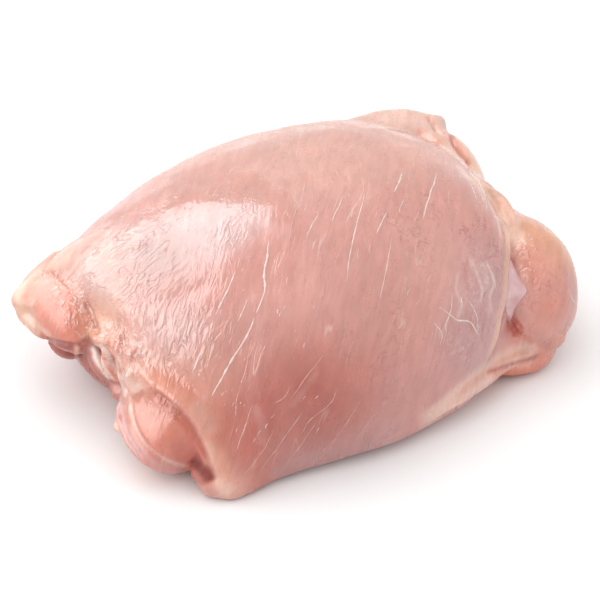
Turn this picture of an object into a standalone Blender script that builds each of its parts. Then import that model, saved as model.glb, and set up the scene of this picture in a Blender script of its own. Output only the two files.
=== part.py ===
"""Raw skinless chicken thigh, folded round its own muscles and lying smooth side up.

The frame is in metres with +Z up. +X runs along the thigh, from the open end with the
knuckle muscles to the end with the tucked flank. +Y is the far long side. The origin is
on the surface that the thigh lies on, under the middle of its bounding box.
"""

import functools
import math

import bpy
from mathutils import Matrix, Vector

# The thigh's length in metres. Everything else is laid out in steps of it, and one step
# is close to a millimetre.
LENGTH = 0.102
STEP = LENGTH / 112.7

# Linear colour, roughness.
MEAT = ((0.66, 0.34, 0.28, 1), 0.35)

# The cover sheet: its top, the depth of its base before the flat cut, the rounding of its
# lip, the height over which a flared corner evens out, the bearings to each side over which
# it does, and how round the sheet is above and below its rim, where 1 is an ellipse and less
# is boxier.
SHEET_HEIGHT = 43.5
BASE_DEPTH = 3
LIP_DEPTH = 6
FLARE_HEIGHT = 18
FLARE_BEARINGS = range(-54, 55, 6)
TOP_ROUNDING = 0.9
BASE_ROUNDING = 0.8

# The hollow under the sheet: its depth, where it ends on the way out to the rim, and how
# much of that way its slope takes.
HOLLOW_DEPTH = 9
HOLLOW_EDGE = 0.8
HOLLOW_SLOPE = 0.5

# Segments and rings of the balls that the sheet and the bellies are drawn from.
SHEET_BALL = (128, 56)
BELLY_BALL = (40, 28)

# The skin over the joined muscles.
VOXEL = 1.0
SOFTENING_PASSES = 3
TARGET_TRIANGLES = 9000
SHARP_ANGLE = 50

# The height of the plane that the thigh lies on, and the block that is cut away below it.
FLAT_CUT = 0.8
GROUND_WIDTH = 200
GROUND_DEPTH = 20

# The rim of the cover sheet seen from above, in rows of compass bearing in degrees
# anticlockwise from +X, reach from the middle, height, and how far the sheet tucks in
# below its rim.
SHEET_RIM = (
    (0, 49.5, 25, 4),
    (20, 51, 27, 4),
    (38, 51.5, 27, 4),
    (60, 49.5, 22, 3),
    (88, 47, 18, 3),
    (108, 45.7, 17, 3),
    (124, 48.3, 18, 3),
    (138, 51.5, 21, 4),
    (150, 49.5, 24, 6),
    (160, 46.5, 26, 9),
    (169, 44.5, 25, 11),
    (178, 43.5, 22.5, 11),
    (186, 43, 20, 11),
    (199, 42, 15, 9),
    (208, 43, 10, 6),
    (213, 46.5, 5, 3),
    (217, 49.5, 2, 1),
    (222, 47, 3, 1),
    (229, 41.8, 4, 1),
    (240, 38.6, 5, 1),
    (254, 37.8, 6, 1),
    (283, 38.3, 6, 1),
    (300, 41.2, 6, 1),
    (311, 43.3, 9, 2),
    (319, 45, 17, 4),
    (329, 45, 24, 6),
    (344, 46, 26, 6),
)


def clear_scene():
    for obj in list(bpy.data.objects):
        bpy.data.objects.remove(obj)


def hermite(start, end, leave, arrive, t):
    """The smooth curve from start to end with the given slopes, at t from 0 to 1."""
    return (
        start * (2 * t**3 - 3 * t**2 + 1)
        + leave * (t**3 - 2 * t**2 + t)
        + end * (3 * t**2 - 2 * t**3)
        + arrive * (t**3 - t**2)
    )


def along_path(path, place):
    """A point of the smooth curve through the path's points, at a place from 0 to 1."""
    spans = len(path) - 1
    index = min(int(place * spans), spans - 1)
    points = [Vector(path[min(max(index + i, 0), spans)]) for i in (-1, 0, 1, 2)]
    leave = (points[2] - points[0]) / 2
    arrive = (points[3] - points[1]) / 2
    return hermite(points[1], points[2], leave, arrive, place * spans - index)


@functools.cache
def rim_at(bearing):
    """Reach, height and tuck of the cover sheet's rim at a bearing in degrees."""
    bearing %= 360
    count = len(SHEET_RIM)
    upper = next((i for i, row in enumerate(SHEET_RIM) if row[0] > bearing), count)

    def row(index):
        turns, at = divmod(index, count)
        place, *values = SHEET_RIM[at]
        return place + 360 * turns, Vector(values)

    (b0, v0), (b1, v1), (b2, v2), (b3, v3) = (row(upper + i) for i in (-2, -1, 0, 1))
    span = b2 - b1
    leave = (v2 - v0) * span / (b2 - b0)
    arrive = (v3 - v1) * span / (b3 - b1)
    return hermite(v1, v2, leave, arrive, (bearing - b1) / span)


@functools.cache
def shoulder_at(bearing):
    """The sheet's evened reach above its rim, without the corners that flare below."""
    widest = FLARE_BEARINGS[-1] + FLARE_BEARINGS.step
    weights = [math.cos(turn / widest * math.pi / 2) ** 2 for turn in FLARE_BEARINGS]
    reaches = [rim_at(bearing + turn)[0] for turn in FLARE_BEARINGS]
    return sum(w * r for w, r in zip(weights, reaches)) / sum(weights)


def powered(value, power):
    """value raised to a power, with its sign kept."""
    return math.copysign(abs(value) ** power, value)


def eased(value):
    """A soft step from 0 at 0 to 1 at 1."""
    value = min(max(value, 0), 1)
    return value * value * (3 - 2 * value)


def new_ball(name, fineness):
    segments, rings = fineness
    bpy.ops.mesh.primitive_uv_sphere_add(segments=segments, ring_count=rings, radius=1)
    ball = bpy.context.active_object
    ball.name = name
    return ball


def add_cover_sheet():
    """The broad top muscle: a pillow whose rim follows SHEET_RIM, hollow underneath."""
    sheet = new_ball("cover_sheet", SHEET_BALL)
    for vertex in sheet.data.vertices:
        x, y, z = vertex.co
        turn = math.atan2(y, x)
        bearing = round(math.degrees(turn), 3)
        reach, rim, tuck = rim_at(bearing)
        inward = math.hypot(x, y)
        if z > 0:
            height = rim + powered(z, TOP_ROUNDING) * (SHEET_HEIGHT - rim)
            reach += (shoulder_at(bearing) - reach) * eased((height - rim) / FLARE_HEIGHT)
            spread = reach * inward**TOP_ROUNDING
        else:
            height = rim + powered(z, BASE_ROUNDING) * (BASE_DEPTH + rim)
            reach -= tuck * eased((rim - height) / LIP_DEPTH)
            spread = reach * inward**BASE_ROUNDING
            height += HOLLOW_DEPTH * eased((HOLLOW_EDGE - inward) / HOLLOW_SLOPE)
        vertex.co = Vector((math.cos(turn) * spread, math.sin(turn) * spread, height)) * STEP
    return sheet


def add_belly(name, path, side, up, taper=(1, 1)):
    """A muscle belly, strand or roll of fat: a ball drawn out along a path.

    side and up are its half widths across the path, level and upright, and taper scales
    them at the two ends.
    """
    belly = new_ball(name, BELLY_BALL)
    turned = Matrix.Rotation(math.radians(90), 3, "Y")
    nudge = 0.01
    for vertex in belly.data.vertices:
        along, across, above = turned @ vertex.co
        place = (along + 1) / 2
        middle = along_path(path, place)
        ahead = along_path(path, min(place + nudge, 1)) - along_path(path, max(place - nudge, 0))
        level = Vector((0, 0, 1)).cross(ahead).normalized()
        upright = ahead.cross(level).normalized()
        girth = taper[0] + (taper[1] - taper[0]) * place
        offset = (level * across * side + upright * above * up) * girth
        vertex.co = (middle + offset) * STEP
    return belly


# Every belly, strand and roll that shows round the sheet's rim or underneath it.
BELLIES = {
    # The open end at -X.
    "knuckle_upper": dict(path=((-42, 33, 20.4), (-44.6, 10.4, 19.6)), side=8.6, up=7.4),
    "fat_rim": dict(
        path=((-34, 33, 20), (-44, 31, 20.5), (-54, 28, 21.5)), side=8, up=6.5, taper=(1.2, 0.6)
    ),
    "corner_mass": dict(path=((-26, 36, 13), (-37, 22, 13)), side=8, up=9),
    "deep_belly": dict(path=((-37, 34, 7), (-36, 6, 6.5)), side=7, up=6),
    "tendon_bed": dict(path=((-36, 20, 14), (-36, 9, 11), (-36, -3, 10)), side=6, up=7),
    "tendon": dict(path=((-41, 17, 18), (-43, 8, 12.5), (-41, -3, 9)), side=2, up=2.2),
    "knuckle_lower": dict(path=((-41, -2.4, 10.6), (-40.4, -20.8, 9)), side=9, up=8.8),
    "lip": dict(
        path=(
            (-41.5, 15, 26.5),
            (-43, 5.5, 24),
            (-42.4, -1, 22.6),
            (-41.2, -7.8, 21),
            (-39.6, -14.2, 18.4),
            (-38.2, -19.8, 14.6),
            (-38, -24.6, 9.5),
            (-39, -29, 4.5),
        ),
        side=4.4,
        up=3.2,
    ),
    "knuckle_wrap": dict(
        path=((-43.8, -1, 12.5), (-46.2, -4, 8), (-44.5, -10.5, 5), (-39.5, -17, 4)),
        side=3,
        up=3,
    ),
    "flap_tip": dict(path=((-37, -20, 6), (-40.5, -28.5, 3)), side=3.5, up=4),
    # The tucked flank at +X.
    "flank": dict(
        path=((51, 8, 13), (48.5, -9, 14), (45, -23, 16), (40.5, -35, 9.5)), side=11, up=12
    ),
    "flank_root": dict(path=((46, -12, 8), (26, -32, 8)), side=7, up=7),
    "flank_under": dict(
        path=((52, -12, 5), (47.5, -24, 5), (40, -31.5, 4.6), (29, -30, 4.4)), side=4.4, up=4.2
    ),
    "end_mass": dict(path=((42, 28, 16), (48, 6, 14), (42, -18, 13)), side=9, up=13),
    "rear_lobe": dict(path=((48, 27, 23), (51.5, 15, 24), (49.5, 2, 20)), side=6, up=8),
    "top_fat": dict(path=((28, 34, 27), (45, 28, 28.3), (55, 21, 28.3)), side=6.5, up=5.7),
    "fat_nub": dict(path=((52, 24, 29), (56.5, 21.5, 31.5)), side=2.6, up=2.4),
    "edge_fat": dict(path=((50, 8, 26), (47.5, -6, 26.5), (41, -20, 26)), side=3, up=3),
    # The far side.
    "far_roll": dict(path=((-38, 26, 8), (-14, 37, 8), (12, 35, 9)), side=12, up=10),
    "far_belly": dict(path=((0, 32, 12), (26, 35, 12), (45, 18, 12)), side=11, up=13),
    # The underside.
    "inner_near": dict(path=((-30, -12, 6), (2, -20, 7), (34, -23, 7)), side=11, up=8),
    "inner_middle": dict(path=((-38, 12, 7), (0, 4, 7), (42, -4, 8)), side=12, up=8.5),
    "inner_far": dict(path=((-24, 28, 7), (6, 24, 8), (40, 14, 8)), side=11, up=8),
}


def apply_modifier(obj, modifier):
    bpy.ops.object.select_all(action="DESELECT")
    obj.select_set(True)
    bpy.context.view_layer.objects.active = obj
    bpy.ops.object.modifier_apply(modifier=modifier.name)


def join_solid(first, others):
    """One Boolean union of all the muscles."""
    muscles = bpy.data.collections.new("muscles")
    for part in others:
        muscles.objects.link(part)
    union = first.modifiers.new("union", "BOOLEAN")
    union.operation = "UNION"
    union.operand_type = "COLLECTION"
    union.collection = muscles
    union.solver = "MANIFOLD"
    apply_modifier(first, union)
    for part in others:
        bpy.data.objects.remove(part)
    bpy.data.collections.remove(muscles)
    return first


def skin_over(thigh):
    """One even skin over the joined muscles, softened in the creases."""
    remesh = thigh.modifiers.new("skin", "REMESH")
    remesh.mode = "VOXEL"
    remesh.voxel_size = VOXEL * STEP
    apply_modifier(thigh, remesh)
    smooth = thigh.modifiers.new("soften", "SMOOTH")
    smooth.iterations = SOFTENING_PASSES
    apply_modifier(thigh, smooth)


def thin_out(thigh):
    triangles = sum(len(p.vertices) - 2 for p in thigh.data.polygons)
    decimate = thigh.modifiers.new("thin_out", "DECIMATE")
    decimate.ratio = TARGET_TRIANGLES / triangles
    apply_modifier(thigh, decimate)


def flatten_base(thigh):
    """Cuts the flat faces that the thigh lies on, all in one plane."""
    bpy.ops.mesh.primitive_cube_add(size=1)
    ground = bpy.context.active_object
    ground.scale = Vector((GROUND_WIDTH, GROUND_WIDTH, GROUND_DEPTH)) * STEP
    ground.location.z = (FLAT_CUT - GROUND_DEPTH / 2) * STEP
    cut = thigh.modifiers.new("base", "BOOLEAN")
    cut.operation = "DIFFERENCE"
    cut.object = ground
    cut.solver = "MANIFOLD"
    apply_modifier(thigh, cut)
    bpy.data.objects.remove(ground)


def centre_on_origin(thigh):
    corners = [v.co for v in thigh.data.vertices]
    low = Vector(min(c[i] for c in corners) for i in range(3))
    high = Vector(max(c[i] for c in corners) for i in range(3))
    shift = Vector(((low.x + high.x) / 2, (low.y + high.y) / 2, low.z))
    for vertex in thigh.data.vertices:
        vertex.co -= shift


def paint(thigh):
    colour, roughness = MEAT
    meat = bpy.data.materials.new("raw_meat")
    meat.use_nodes = True
    surface = meat.node_tree.nodes["Principled BSDF"]
    surface.inputs["Base Color"].default_value = colour
    surface.inputs["Roughness"].default_value = roughness
    thigh.data.materials.append(meat)
    thigh.data.shade_smooth()
    thigh.data.set_sharp_from_angle(angle=math.radians(SHARP_ANGLE))


def build_thigh():
    sheet = add_cover_sheet()
    bellies = [add_belly(name, **shape) for name, shape in BELLIES.items()]
    thigh = join_solid(sheet, bellies)
    thigh.name = "chicken_thigh"
    skin_over(thigh)
    thin_out(thigh)
    flatten_base(thigh)
    return thigh


def file_in_collection(thigh):
    for holder in list(thigh.users_collection):
        holder.objects.unlink(thigh)
    home = bpy.data.collections.new("raw_chicken_thigh")
    bpy.context.scene.collection.children.link(home)
    home.objects.link(thigh)


def main():
    clear_scene()
    thigh = build_thigh()
    centre_on_origin(thigh)
    paint(thigh)
    file_in_collection(thigh)


main()
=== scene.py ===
import math

import bpy
import numpy as np
from mathutils import Matrix, Quaternion, Vector, noise
from mathutils.bvhtree import BVHTree


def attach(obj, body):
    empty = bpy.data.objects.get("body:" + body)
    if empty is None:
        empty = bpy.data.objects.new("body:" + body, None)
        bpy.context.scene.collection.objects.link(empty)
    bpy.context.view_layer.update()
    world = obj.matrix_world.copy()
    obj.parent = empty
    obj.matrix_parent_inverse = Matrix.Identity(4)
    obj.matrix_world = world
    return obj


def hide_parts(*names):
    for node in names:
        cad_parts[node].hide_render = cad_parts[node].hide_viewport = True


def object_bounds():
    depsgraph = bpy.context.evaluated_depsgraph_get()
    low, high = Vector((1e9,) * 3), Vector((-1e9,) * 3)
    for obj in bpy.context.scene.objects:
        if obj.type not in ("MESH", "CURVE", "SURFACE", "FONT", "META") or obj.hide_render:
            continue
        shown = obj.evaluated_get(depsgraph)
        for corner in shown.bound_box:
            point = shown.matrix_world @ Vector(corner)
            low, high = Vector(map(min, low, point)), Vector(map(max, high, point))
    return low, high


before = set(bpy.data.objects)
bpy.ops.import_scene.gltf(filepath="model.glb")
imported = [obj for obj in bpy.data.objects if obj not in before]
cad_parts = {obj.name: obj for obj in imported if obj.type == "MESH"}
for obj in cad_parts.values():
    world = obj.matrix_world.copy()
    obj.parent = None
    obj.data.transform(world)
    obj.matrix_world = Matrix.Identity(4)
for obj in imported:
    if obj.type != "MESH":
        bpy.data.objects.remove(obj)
cadLow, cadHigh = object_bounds()
bpy.ops.object.select_all(action="DESELECT")
print("frame loaded")

# The thigh is laid out in steps of its length, about a millimetre each, round a layout
# point that the CAD model then centres.
stepsLong = 112.7
step = (cadHigh.x - cadLow.x) / stepsLong
layoutCentre = Vector((2.35, 5.7, 0.8))

photoView = {
    "azimuth": -35,
    "elevation": 37,
    "lens": 120,
    "sensor": 36,
    "distance": 430,
    "target": Vector((0, 0, 17)),
    "imageSide": 600,
}


def place(x, y, z):
    return (Vector((x, y, z)) - layoutCentre) * step


# Camera

def viewAxes(view):
    turn, rise = math.radians(view["azimuth"]), math.radians(view["elevation"])
    back = Vector((math.sin(turn) * math.cos(rise), -math.cos(turn) * math.cos(rise), math.sin(rise)))
    right = Vector((math.cos(turn), math.sin(turn), 0))
    return right, back.cross(right), back


right, up, back = viewAxes(photoView)
eye = place(*photoView["target"]) + back * photoView["distance"] * step


def makeCamera(view):
    bpy.ops.object.camera_add(location=eye)
    camera = bpy.context.active_object
    camera.name = "photo_camera"
    camera.rotation_mode = "QUATERNION"
    camera.rotation_quaternion = (-back).to_track_quat("-Z", "Y")
    camera.data.lens = view["lens"]
    camera.data.sensor_width = view["sensor"]
    camera.data.clip_start = 0.01
    camera.data.clip_end = 20
    bpy.context.scene.camera = camera


makeCamera(photoView)
print("camera placed")


# Finding places on the thigh: a spot is a pixel of the photograph's frame or, where the
# photograph doesn't show it, a point of the layout close to the skin

def rayThrough(x, y):
    half = photoView["imageSide"] / 2
    spread = photoView["sensor"] / 2 / photoView["lens"]
    return (right * (x - half) / half * spread - up * (y - half) / half * spread - back).normalized()


# a ray that misses the thigh looks for the nearest skin at these shares of the distance
missedRay = {"from": 0.88, "stride": 0.003, "tries": 80}


def onSkin(tree, where):
    if len(where) == 3:
        spot, normal, _, _ = tree.find_nearest(place(*where))
        return spot, normal
    ray = rayThrough(*where)
    spot, normal, _, _ = tree.ray_cast(eye, ray)
    if spot is None:
        distance = photoView["distance"] * step
        shares = [missedRay["from"] + missedRay["stride"] * i for i in range(missedRay["tries"])]
        tries = [tree.find_nearest(eye + ray * distance * share) for share in shares]
        spot, normal, _, _ = min(tries, key=lambda found: found[3])
    return spot, normal


def smoothPath(points, count):
    # a smooth curve through the points, read at even places
    points = np.array(points, float)
    padded = np.vstack([2 * points[0] - points[1], points, 2 * points[-1] - points[-2]])
    places = np.linspace(0, len(points) - 1, count)
    index = np.minimum(places.astype(int), len(points) - 2)
    t = (places - index)[:, None]
    a, b, c, d = (padded[index + i] for i in range(4))
    return 0.5 * (2 * b + (c - a) * t + (2 * a - 5 * b + 4 * c - d) * t**2 + (3 * b - a - 3 * c + d) * t**3)


def pathOnSkin(tree, pixels, count, lifts=(0.0,), bridge=False):
    # lifts are steps towards the camera, from end to end; a bridge spans a hollow between its ends
    rise = np.interp(np.linspace(0, 1, count), np.linspace(0, 1, len(lifts)), lifts) * step
    pixels = smoothPath(pixels, count)
    spots = [onSkin(tree, pixel)[0] for pixel in pixels]
    if bridge:
        away = np.linspace((spots[0] - eye).length, (spots[-1] - eye).length, count)
        spots = [eye + rayThrough(x, y) * distance for (x, y), distance in zip(pixels, away)]
    return np.array(spots) + np.array(back) * rise[:, None]


# Modelling helpers

def selectOnly(piece):
    bpy.ops.object.select_all(action="DESELECT")
    piece.select_set(True)
    bpy.context.view_layer.objects.active = piece


def applyModifier(piece, modifier):
    selectOnly(piece)
    bpy.ops.object.modifier_apply(modifier=modifier.name)


def copyNode(nodeName, pieceName):
    piece = bpy.data.objects.new(pieceName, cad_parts[nodeName].data.copy())
    bpy.context.scene.collection.objects.link(piece)
    piece.data.name = pieceName
    piece.data.materials.clear()
    selectOnly(piece)
    bpy.ops.object.mode_set(mode="EDIT")
    bpy.ops.mesh.select_all(action="SELECT")
    bpy.ops.mesh.remove_doubles(threshold=1e-6)
    bpy.ops.object.mode_set(mode="OBJECT")
    return piece


def soften(piece, levels):
    rounded = piece.modifiers.new("rounded", "SUBSURF")
    rounded.levels = rounded.render_levels = levels
    applyModifier(piece, rounded)


def skinOver(piece, voxel, smoothing):
    remesh = piece.modifiers.new("skin", "REMESH")
    remesh.mode = "VOXEL"
    remesh.voxel_size = voxel * step
    applyModifier(piece, remesh)
    smooth = piece.modifiers.new("smooth", "SMOOTH")
    smooth.iterations = smoothing
    applyModifier(piece, smooth)


def skinTree(piece):
    return BVHTree.FromObject(piece, bpy.context.evaluated_depsgraph_get())


def readPoints(piece):
    flat = np.empty(len(piece.data.vertices) * 3)
    piece.data.vertices.foreach_get("co", flat)
    return flat.reshape(-1, 3)


def writePoints(piece, points):
    piece.data.vertices.foreach_set("co", points.ravel())
    piece.data.update()


def readNormals(piece):
    flat = np.empty(len(piece.data.vertices) * 3)
    piece.data.vertices.foreach_get("normal", flat)
    return flat.reshape(-1, 3)


def drawStrand(name, path, side, thick, taper, facing, segments=20):
    # a ball drawn out along a path, flat towards facing: one direction, or one for each point
    rings = max(12, 2 * len(path))
    bpy.ops.mesh.primitive_uv_sphere_add(segments=segments, ring_count=rings, radius=1)
    strand = bpy.context.active_object
    strand.name = name
    ball = readPoints(strand)
    reached = (ball[:, 2] + 1) / 2
    places = np.linspace(0, 1, len(path))
    facings = np.broadcast_to(np.array(facing), path.shape)

    def at(values, share):
        share = np.clip(share, 0, 1)
        return np.stack([np.interp(share, places, values[:, i]) for i in range(3)], axis=1)

    stride = 0.06  # the way is read this share of the path ahead and behind
    ahead = at(path, reached + stride) - at(path, reached - stride)
    ahead /= np.linalg.norm(ahead, axis=1)[:, None]
    level = np.cross(at(facings, reached), ahead)
    level /= np.linalg.norm(level, axis=1)[:, None]
    outward = np.cross(ahead, level)
    girth = np.interp(reached, np.linspace(0, 1, len(taper)), taper)[:, None] * step
    moved = at(path, reached) + (level * ball[:, :1] * side + outward * ball[:, 1:2] * thick) * girth
    writePoints(strand, moved)
    return strand


def joinInto(piece, others):
    selectOnly(piece)
    for other in others:
        other.select_set(True)
    bpy.ops.object.join()


# Forms that grow out of the skin: where each runs in the photograph, its half widths in
# steps, how far it stands towards the camera, its girth from end to end, and whether it
# spans a hollow between its ends
grownForms = {
    "layerInner": {
        "pixels": [(122, 394), (121, 412), (129, 434), (144, 454), (166, 467), (190, 470)],
        "side": 1.7, "thick": 1.4, "lifts": (-0.2, 0.1, 0.0), "taper": (1, 1, 0.8),
    },
    "rimLow": {
        "pixels": [(18, 310), (25, 321), (36, 331), (50, 340)],
        "side": 2.0, "thick": 1.9, "lifts": (-0.4,), "taper": (0.9, 1.1, 0.9, 0.5),
    },
    "neck": {
        "pixels": [(128, 370), (133, 380), (139, 390), (146, 400)],
        "side": 2.4, "thick": 2.2, "lifts": (-1.6, -1.8, -1.6), "taper": (0.7, 1, 1, 0.8), "bridge": True,
    },
    "neckLow": {
        "pixels": [(126, 392), (133, 396), (141, 402)],
        "side": 2.2, "thick": 2.4, "lifts": (-0.6, -1.0), "taper": (0.8, 1, 0.8), "bridge": True,
    },
    "rimTop": {
        "pixels": [(36, 288), (54, 273), (72, 261), (90, 249), (110, 235), (124, 227)],
        "side": 3.7, "thick": 3.4, "lifts": (-2.8, -2.8, -3.4), "taper": (0.6, 0.9, 1, 1, 0.9, 0.4),
        "bridge": True,
    },
    "recessBack": {
        "pixels": [(92, 340), (100, 354), (108, 368), (116, 384)],
        "side": 3.4, "thick": 3.0, "lifts": (-3.3,), "taper": (0.9, 1, 1, 0.9), "bridge": True,
    },
    "recessFloor": {
        "pixels": [(48, 341), (60, 347), (71, 352), (82, 355)],
        "side": 2.0, "thick": 2.0, "lifts": (-2.4,), "taper": (0.8, 1, 1, 0.8), "bridge": True,
    },
    "tendonRoot": {
        "pixels": [(112, 384), (121, 390), (129, 396)],
        "side": 2.6, "thick": 2.0, "lifts": (-1.2,), "taper": (1, 1, 1),
    },
    "tendonBed": {
        "pixels": [(104, 344), (111, 357), (118, 370), (123, 384)],
        "side": 2.8, "thick": 1.3, "lifts": (-0.7, -0.3, -0.7), "taper": (0.8, 1, 1, 0.8), "bridge": True,
    },
    "tendonHead": {
        "pixels": [(92, 331), (99, 338), (107, 343)],
        "side": 1.9, "thick": 1.6, "lifts": (-0.5, -0.2, -0.5), "taper": (1, 1.1, 1), "bridge": True,
    },
    "creviceFill": {
        "pixels": [(196, 460), (204, 471), (212, 486)],
        "side": 2.6, "thick": 2.2, "lifts": (-2.3, -1.7, -1.6), "taper": (1, 1.1, 1), "bridge": True,
    },
    "flankFill": {
        "pixels": [(562, 322), (556, 336), (546, 350)],
        "side": 2.6, "thick": 2.4, "lifts": (-2.0,), "taper": (0.7, 1, 0.8), "bridge": True,
    },
    "tendonOuter": {
        "pixels": [(94, 344), (99, 357), (107, 370), (115, 381)],
        "side": 1.6, "thick": 1.0, "lifts": (-0.3, 0.3, 0.3, -0.4), "taper": (0.8, 1.1, 1.1, 0.9),
        "bridge": True,
    },
    "tendonMiddle": {
        "pixels": [(103, 347), (109, 359), (116, 371), (121, 381)],
        "side": 0.8, "thick": 0.8, "lifts": (0.2, 0.5, 0.5, -0.2), "taper": (0.9, 1, 1, 0.8), "bridge": True,
    },
    "tendonInner": {
        "pixels": [(116, 356), (121, 369), (124, 383), (125, 398)],
        "side": 1.1, "thick": 0.9, "lifts": (0.1, 0.3, 0.2, -0.4), "taper": (0.9, 1, 1, 0.7), "bridge": True,
    },
    "beadOne": {
        "pixels": [(105, 341), (111, 344)],
        "side": 1.3, "thick": 1.1, "lifts": (0.1,), "taper": (1, 1),
    },
    "beadTwo": {
        "pixels": [(117, 336), (122, 338)],
        "side": 1.2, "thick": 1.1, "lifts": (0.0,), "taper": (1, 1),
    },
    "beadThree": {
        "pixels": [(115, 347), (121, 353)],
        "side": 1.4, "thick": 1.2, "lifts": (0.1,), "taper": (1, 0.9),
    },
    "beadFour": {
        "pixels": [(128, 348), (133, 360)],
        "side": 1.3, "thick": 1.1, "lifts": (0.0,), "taper": (0.9, 1),
    },
    "beadFive": {
        "pixels": [(130, 370), (132, 384)],
        "side": 1.5, "thick": 1.3, "lifts": (0.4,), "taper": (1, 0.9),
    },
    "layerNub": {
        "pixels": [(114, 422), (119, 427), (124, 436)],
        "side": 1.4, "thick": 1.0, "lifts": (0.1,), "taper": (0.9, 1, 0.6),
    },
    "lipStepFill": {
        "pixels": [(150, 372), (178, 398), (204, 420), (214, 444)],
        "side": 3.4, "thick": 1.6, "lifts": (-1.2,), "taper": (0.8, 1, 1, 0.6),
    },
    "fatStrip": {
        "pixels": [(470, 172), (484, 190), (497, 204), (508, 222), (511, 244)],
        "side": 2.4, "thick": 1.6, "lifts": (-0.7, -0.5, -0.4), "taper": (0.5, 0.8, 1.1, 1.1, 0.7),
    },
    "fasciaWedge": {
        "pixels": [(540, 352), (520, 356), (498, 364), (474, 382), (446, 404), (418, 424)],
        "side": 2.6, "thick": 1.5, "lifts": (-0.9, -0.7), "taper": (0.4, 0.9, 1.1, 0.9, 0.5),
    },
    "topFatEdge": {
        "pixels": [(366, 118), (396, 122), (424, 134), (446, 149), (462, 164), (478, 186)],
        "side": 1.2, "thick": 1.0, "lifts": (-0.4,), "taper": (0.6, 1, 1, 0.8),
    },
    "domeFill": {
        "pixels": [(262, 268), (266, 300), (258, 330)],
        "side": 4.5, "thick": 1.2, "lifts": (-0.9,), "taper": (0.7, 1, 0.7),
    },
}


formPoints = 14  # points along the path of a form
formTilt = 0.4  # how far the flat side of a form turns from the camera to the sky


def addForms(piece, forms):
    tree = skinTree(piece)
    facing = (back + Vector((0, 0, formTilt))).normalized()
    strands = []
    for name, form in forms.items():
        path = pathOnSkin(tree, form["pixels"], formPoints, form["lifts"], "bridge" in form)
        strands.append(drawStrand(name, path, form["side"], form["thick"], form["taper"], facing))
    joinInto(piece, strands)


skinShape = {
    "cadSmoothing": 1,
    "voxel": 0.6,
    "smoothing": 3,
}

thigh = copyNode("chicken_thigh", "thigh_meat")
soften(thigh, skinShape["cadSmoothing"])
addForms(thigh, grownForms)
skinOver(thigh, skinShape["voxel"], skinShape["smoothing"])
print("skin made:", len(thigh.data.polygons), "faces")


# Relief

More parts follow.
